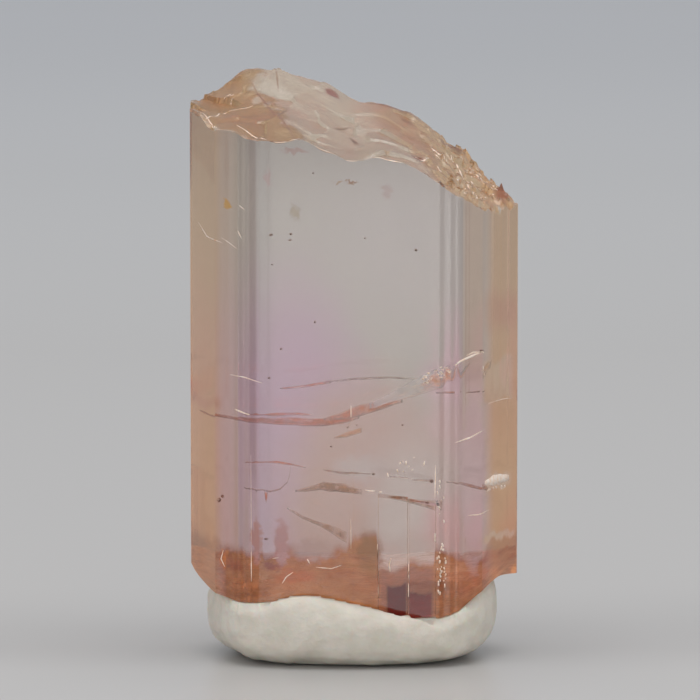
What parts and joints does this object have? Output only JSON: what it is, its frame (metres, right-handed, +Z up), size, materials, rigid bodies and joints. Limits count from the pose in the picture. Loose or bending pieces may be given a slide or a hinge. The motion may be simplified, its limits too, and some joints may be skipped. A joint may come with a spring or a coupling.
{
  "type": "tanzanite crystal",
  "caption": "Clear flat prismatic gem crystal, broken across the top, stood upright in a pressed lump of white mineral putty.",
  "frame": {"origin": "centre of the specimen's footprint, on the surface that the putty's flat foot stands on", "axes": "+Z up along the crystal's length, +X along its broad faces to the right as seen from the front, +Y through its thickness to the back"},
  "size_m": [0.013, 0.01, 0.0234],
  "materials": {
    "tanzanite": "natural glossy crystal faces, clear lilac to orange-brown",
    "putty": "matte off-white putty"
  },
  "bodies": {
    "root": {"tanzanite_crystal": "tanzanite", "mineral_putty": "putty"}
  },
  "joints": []
}
